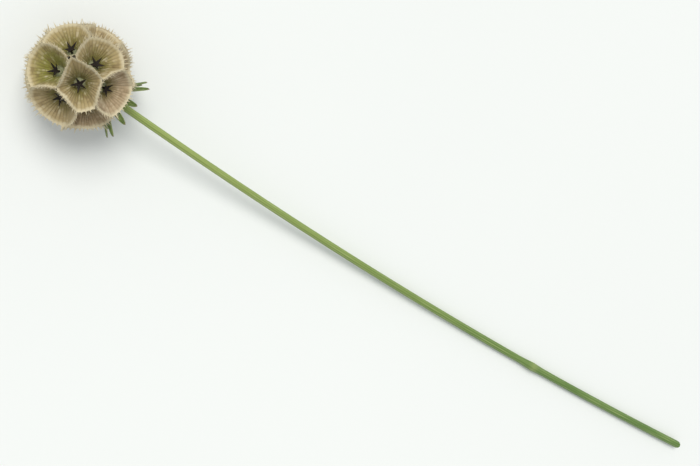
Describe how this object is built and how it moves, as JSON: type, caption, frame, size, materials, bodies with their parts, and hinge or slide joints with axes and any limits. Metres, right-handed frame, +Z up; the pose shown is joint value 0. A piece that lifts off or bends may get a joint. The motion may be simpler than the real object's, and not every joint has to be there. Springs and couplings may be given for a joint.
{
  "type": "scabiosa flower",
  "caption": "Cut starflower scabiosa stem lying down: a globular seed head of papery cups with dark stars, a whorl of green bracts and a bare green stem.",
  "frame": {"origin": "centre of the flower's footprint, on the surface that it lies on", "axes": "+X along the stem from the head towards the cut end, +Z up from the surface"},
  "size_m": [0.4008, 0.0502, 0.0436],
  "materials": {
    "papery_cups": "dry, papery and slightly translucent, matt, cream at the rims and olive inside",
    "green_bracts": "soft green leaf, matt, finely hairy",
    "green_stem": "fresh green stem, satin, finely ribbed, with short hairs"
  },
  "bodies": {
    "root": {"seed_head": "papery_cups", "involucre": "green_bracts", "stem": "green_stem"}
  },
  "joints": []
}
